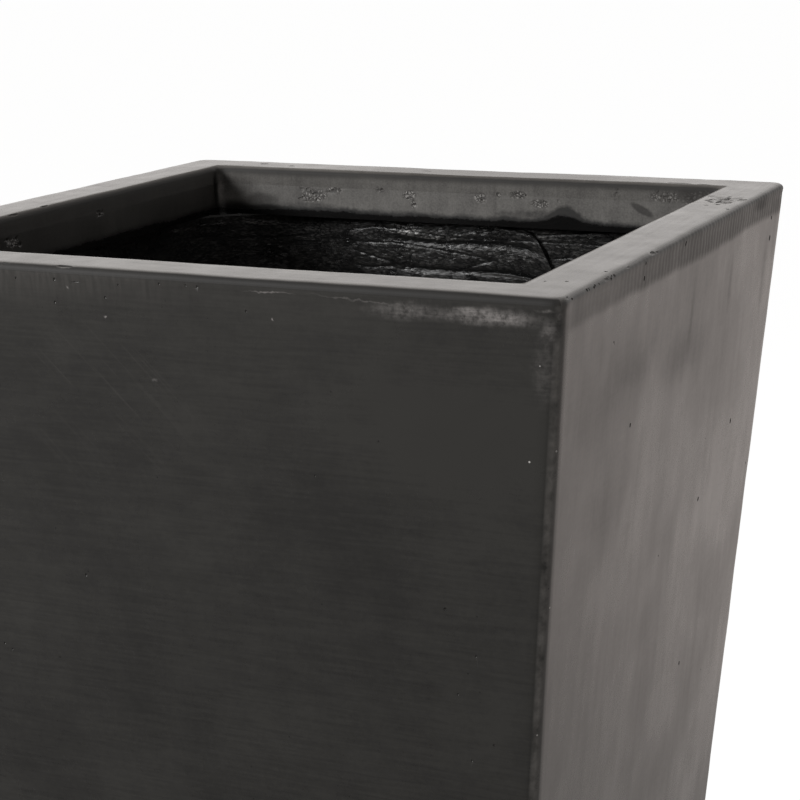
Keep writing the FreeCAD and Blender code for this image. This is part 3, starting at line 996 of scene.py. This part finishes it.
    # black resin brushed up on to the foot of the band, with humps on the back side and a thin film above
    level, tall = s["resinWander"]
    wide = add("Mapping", {"Vector": spot, "Scale": (1000 / level, 1000 / level, 1000 / tall)})
    wander = add("TexNoise", {"Vector": wide, "Scale": 1.0, "Detail": 3.0})
    resinTop = add("Math", (wander, 0.004, 0.6252), "MULTIPLY_ADD")
    onBack = add("Math", (y, 0.1), "GREATER_THAN")
    swell = 0.0
    for centre, width, rise in s["resinHumps"]:
        offset = add("Math", (add("Math", (x, centre), "SUBTRACT"), width), "DIVIDE")
        square = add("Math", (offset, offset), "MULTIPLY")
        square = add("Math", (square, -1.0), "MULTIPLY")
        hump = add("Math", (add("Math", (square,), "EXPONENT"), onBack), "MULTIPLY")
        swell = add("Math", (hump, rise, swell), "MULTIPLY_ADD")
    above = add("Math", (z, resinTop), "SUBTRACT")
    uneven = add("Math", (fine, 0.5), "SUBTRACT")
    above = add("Math", (uneven, 0.0024, above), "MULTIPLY_ADD")
    thin = add("Math", (above, swell), "SUBTRACT")
    thin = add("Math", (mottle, 0.003, thin), "MULTIPLY_ADD")
    above = add("Math", (swell, -0.6, above), "MULTIPLY_ADD")    # the black runs less far up a hump
    thin = add("MapRange", {"Value": thin, "From Min": 0.0030, "From Max": 0.0008})
    film = add("MapRange", {"Value": fine, "From Min": 0.30, "From Max": 0.60, "To Min": 0.35})
    film = add("Math", (film, addPatches(add, nudged, s["filmPatches"], 0.3)), "MULTIPLY")
    thin = add("Math", (add("Math", (thin, film), "MAXIMUM"), inside), "MULTIPLY")
    color = add("MixRGB", (thin, color, s["resin"][2]))
    foot = {"Value": above, "From Min": 0.0004, "From Max": -0.0024}
    resin = add("MapRange", foot, interpolation_type="SMOOTHSTEP")
    resin = add("Math", (resin, addPatches(add, nudged, s["resinPatches"], 0.3)), "MAXIMUM")
    resin = add("Math", (resin, inside), "MULTIPLY", use_clamp=True)
    black = add("MixRGB", (mottle, s["resin"][0], s["resin"][1]))
    color = add("MixRGB", (resin, color, black))
    polish = add("Mix", {0: resin, 2: polish, 3: 0.22})

    relief = add("Math", (grain, raw), "MULTIPLY")
    relief = add("Math", (flakeReliefAndHighlight, 5.0, relief), "MULTIPLY_ADD")
    bump = add("Bump", {"Height": relief, "Strength": 0.25, "Distance": 0.00025})
    surface = {"Base Color": color, "Roughness": polish, "IOR": s["ior"], "Normal": bump}
    add("OutputMaterial", {"Surface": add("BsdfPrincipled", surface)})
    return material


# glass-fibre laminate: tissue and strands wetted out with black polyester resin and brushed down,
# so it is glossy black and finely crinkled, and only the facets that look up catch the light; those facets
# are painted lighter as well
laminateSettings = {
    "black": ("121212", "272626", "302f2e"),   # painted shade for the creases and seams, flats, dusty flats
    # painted light on the facets that look up
    "paintedLitColor": "2e2d2b",
    "paintedFillLight": "3e3d3c",          # painted light lifting the smooth resin, much of which lies in shade
    "paintedHighlight": "c4c1be",           # painted highlights: pale glints on the tissue
    "ior": 1.34,
    "facet": (2.4, 0.88),      # crinkles of the tissue: length and height in mm
    "pull": 1.3,               # how far they are drawn out of line, in facets
    "strand": (2.0, 0.7),      # length and spacing in mm
    "patch": 14.286,           # dusty and glossier places, in mm
    # smooth black resin at the upper left of the back wall and round that corner, and the painted highlights
    "wetPatches": (((-108, 161, 614), (52, 16, 15), 0.9), ((-165, 150, 600), (54, 60, 60), 0.9)),
    "paintedHighlightPatches": (
        ((-34, 161, 615), (8, 8, 2.2), 1.8), ((-72, 161, 613), (8, 8, 1.6), 0.5),
        ((-14, 161, 612.5), (22, 8, 1.8), 0.3), ((50, 161, 617), (12, 8, 4.0), 0.3),
        ((-126, 156, 616.6), (16, 14, 1.8), 1.1), ((-158, 118, 616.0), (10, 14, 1.4), 0.7),
        ((-108, 161, 608.6), (11, 8, 0.6), 0.5, 6), ((-96, 161, 607.0), (3, 8, 0.7), 0.5),
    ),
}


def makeLaminate(s):
    material, add = newMaterial("glassFibreLaminate")
    spot = add("TexCoord", output="Object")
    unrolled = add("UVMap")
    crease = add("Attribute", output="Fac", attribute_name="crease")
    wet = add("Math", (addPatches(add, spot, s["wetPatches"], 0.2), 1.0), "MINIMUM")
    paintedHighlight = addPatches(add, spot, s["paintedHighlightPatches"], 0.2)
    patch = {"Vector": spot, "Scale": 1000 / s["patch"], "Detail": 4.0, "Roughness": 0.6}
    patch = add("TexNoise", patch)
    length, spacing = s["strand"]
    drawn = add("Mapping", {"Vector": unrolled, "Scale": (1000 / length, 1000 / spacing, 1)})
    strand = add("TexNoise", {"Vector": drawn, "Scale": 1.0, "Detail": 3.0, "Roughness": 0.65})

    # facets of the crinkled tissue, each leaning its own way; those that lean to the light are also painted
    # lighter
    length, spacing = s["facet"]
    drawn = add("Mapping", {"Vector": unrolled, "Scale": (1000 / length, 1000 / spacing, 1)})
    pull = add("TexNoise", {"Vector": drawn, "Scale": 0.8, "Detail": 2.0}, output="Color")
    pull = add("CombineXYZ", tuple(add("SeparateColor", (pull,)).node.outputs))
    drawn = add("VectorMath", (pull, [s["pull"]] * 3, drawn), "MULTIPLY_ADD")
    cells = add("TexVoronoi", {"Vector": drawn, "Scale": 1.0}, voronoi_dimensions="2D").node
    chance = add("SeparateColor", (cells.outputs["Color"],))
    lit = add("Math", (wet, -0.75, chance), "MULTIPLY_ADD")
    lit = add("Math", (add("Math", (strand, 0.5), "SUBTRACT"), 0.9, lit), "MULTIPLY_ADD")
    lit = add("Math", (add("Math", (patch, 0.5), "SUBTRACT"), 0.8, lit), "MULTIPLY_ADD")
    offset = add("VectorMath", (drawn, cells.outputs["Position"]), "SUBTRACT")
    below = add("SeparateXYZ", (offset,), output=1)
    tilt = add("MapRange", {"Value": lit, "From Min": 0.1, "From Max": 1.0, "To Min": -0.48, "To Max": 0.0})
    relief = add("Math", (below, tilt), "MULTIPLY")
    relief = add("Math", (strand, 0.30, relief), "MULTIPLY_ADD")

    dusty = add("MapRange", {"Value": patch, "From Min": 0.40, "From Max": 0.62})
    color = add("MixRGB", (dusty, s["black"][1], s["black"][2]))
    # painted light: lighter colour on the facets that lean to the light
    paintedLitShare = add("MapRange", {"Value": lit, "From Min": 0.40, "From Max": 1.0})
    color = add("MixRGB", (paintedLitShare, color, s["paintedLitColor"]))
    # painted light over the smooth resin, which lies mostly in shade
    color = add("MixRGB", (wet, color, s["paintedFillLight"]))
    # painted highlights, strongest on the facets painted lit
    shown = add("Math", (paintedLitShare, 0.35), "ADD")
    paintedHighlight = add("Math", (paintedHighlight, shown), "MULTIPLY", use_clamp=True)
    color = add("MixRGB", (paintedHighlight, color, s["paintedHighlight"]))
    # painted shade in the seams between facets and in the creases and grooves
    seam = add("MapRange", {"Value": cells.outputs["Distance"], "From Min": 0.34, "From Max": 0.58})
    folded = add("MapRange", {"Value": crease, "From Min": 0.15, "From Max": 0.8})
    paintedCreaseShade = add("Math", (seam, folded), "MAXIMUM")
    color = add("MixRGB", (paintedCreaseShade, color, s["black"][0]))
    gloss = {"Value": patch, "From Min": 0.35, "From Max": 0.65, "To Min": 0.25, "To Max": 0.35}
    gloss = add("MapRange", gloss)
    bump = add("Bump", {"Height": relief, "Strength": 0.8, "Distance": 0.0006})
    surface = {"Base Color": color, "Roughness": gloss, "IOR": s["ior"], "Normal": bump}
    add("OutputMaterial", {"Surface": add("BsdfPrincipled", surface)})
    return material


# moulded rubber: matt black with a slight bloom and fine mould grain
rubberSettings = {
    "black": ("121212", "1f1f1e"),
    "ior": 1.5,
    "bloom": 6,      # sizes in mm
    "grain": 0.5,
}


def makeRubber(s):
    material, add = newMaterial("mouldedRubber")
    spot = add("TexCoord", output="Object")
    bloom = add("TexNoise", {"Vector": spot, "Scale": 1000 / s["bloom"], "Detail": 4.0})
    grain = add("TexNoise", {"Vector": spot, "Scale": 1000 / s["grain"], "Detail": 2.0})
    color = add("MixRGB", (bloom, s["black"][0], s["black"][1]))
    rough = add("MapRange", {"Value": bloom, "To Min": 0.55, "To Max": 0.8})
    bump = add("Bump", {"Height": grain, "Strength": 0.3, "Distance": 0.0002})
    surface = {"Base Color": color, "Roughness": rough, "IOR": s["ior"], "Normal": bump}
    add("OutputMaterial", {"Surface": add("BsdfPrincipled", surface)})
    return material


castStone = makeCastStone(castStoneSettings)
laminate = makeLaminate(laminateSettings)
rubber = makeRubber(rubberSettings)


def fitPiece(piece, material, node, body="planter"):
    piece.data.materials.clear()
    piece.data.materials.append(material)
    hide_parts(node)
    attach(piece, body)


fitPiece(buildShell(shellSettings), castStone, "stone_shell")
for quarter, wall in enumerate(("back", "left", "front", "right")):
    mat = buildWallMat("wallLaminate." + wall, liningSettings, quarter)
    fitPiece(mat, laminate, "wall_mat_" + wall)
for quarter, corner in enumerate(("back_right", "back_left", "front_left", "front_right")):
    strip = buildCornerStrip("cornerLaminate." + corner, liningSettings, quarter)
    fitPiece(strip, laminate, "corner_strip_" + corner)
fitPiece(buildFloorMat(liningSettings), laminate, "floor_mat")
print("lining laid")

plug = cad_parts["drain_plug"]
for place in plug.material_slots:
    place.material = rubber


# floor, lamp and world
stageSettings = {
    "floorSize": 40,
    "floorColor": "f4f4f4",
    "floorSeen": 0.95,       # white that the eye and reflections see, over the lit floor with its shadow
    "floorShadow": 0.2,
    "floorTint": ("fffcf7", "fff4ee"),   # of the floor in reflections, before and behind the planter
    "floorDepth": (-0.5, 1.0),           # from before to behind it, on y
    "floorPaintedShade": (0.8, 2.6, 0.35),       # painted shade in the floor's glow, as reflections see it close before it: from, to and share
    "floorBehind": 0.4,                  # less so behind it
    "lampPlace": (-1.30, -1.56, 1.42),
    "lampAim": (0, 0, 0.55),
    "lampSize": 0.7,
    "lampPower": 52,
    "worldTint": "fffbf8",
    "worldLight": 0.22,
}


# rays from the eye, and those together with the rays of reflections and glass
def seenRays(add):
    path = add("LightPath").node.outputs
    eye = path["Is Camera Ray"]
    seen = add("Math", (eye, path["Is Glossy Ray"]), "MAXIMUM")
    return eye, add("Math", (seen, path["Is Transmission Ray"]), "MAXIMUM")


def setStage(s):
    deselect()
    bpy.ops.mesh.primitive_plane_add(size=s["floorSize"])
    floor = bpy.context.object
    floor.name = "studioFloor"
    material, add = newMaterial("paleFloor")
    eye, seen = seenRays(add)
    lit = add("BsdfDiffuse", {"Color": s["floorColor"]})
    spot = add("TexCoord", output="Object")
    start, end = s["floorDepth"]
    depth = add("SeparateXYZ", (spot,), output=1)
    behind = add("MapRange", {"Value": depth, "From Min": start, "From Max": end})
    tint = add("MixRGB", (behind, s["floorTint"][0], s["floorTint"][1]))
    tint = add("MixRGB", (eye, tint, (1, 1, 1, 1)))
    start, end, share = s["floorPaintedShade"]
    away = add("VectorMath", (spot,), "LENGTH", output="Value")
    # painted shade: the floor's glow dims close to the planter, for reflections only
    glowAndPaintedShade = add("MapRange", {"Value": away, "From Min": start, "From Max": end, "To Min": share})
    glowAndPaintedShade = add("Math", (behind, s["floorBehind"], glowAndPaintedShade), "MULTIPLY_ADD")
    glowAndPaintedShade = add("Math", (glowAndPaintedShade, 1.0), "MINIMUM")
    glowAndPaintedShade = add("Math", (glowAndPaintedShade, eye), "MAXIMUM")
    glowAndPaintedShade = add("Math", (glowAndPaintedShade, s["floorSeen"]), "MULTIPLY")
    shaded = add("MixShader", (s["floorShadow"], add("Emission", {"Color": (0, 0, 0, 1)}), lit))
    white = add("AddShader", (shaded, add("Emission", {"Color": tint, "Strength": glowAndPaintedShade})))
    add("OutputMaterial", {"Surface": add("MixShader", (seen, lit, white))})
    floor.data.materials.append(material)

    deselect()
    bpy.ops.object.light_add(type="AREA", location=s["lampPlace"])
    lamp = bpy.context.object
    aim = Vector(s["lampAim"]) - Vector(s["lampPlace"])
    lamp.rotation_euler = aim.to_track_quat("-Z", "Y").to_euler()
    lamp.data.size = s["lampSize"]
    lamp.data.energy = s["lampPower"]

    world = bpy.data.worlds.new("studio")
    bpy.context.scene.world = world
    world.use_nodes = True
    world.node_tree.nodes.clear()
    add = partial(addNode, world.node_tree)
    eye, seen = seenRays(add)
    strength = add("MapRange", {"Value": seen, "To Min": s["worldLight"], "To Max": 1.0})
    tint = add("MixRGB", (eye, s["worldTint"], (1, 1, 1, 1)))
    add("OutputWorld", {"Surface": add("Background", {"Color": tint, "Strength": strength})})


setStage(stageSettings)
bpy.context.scene.view_settings.view_transform = "Standard"
print("stage set")
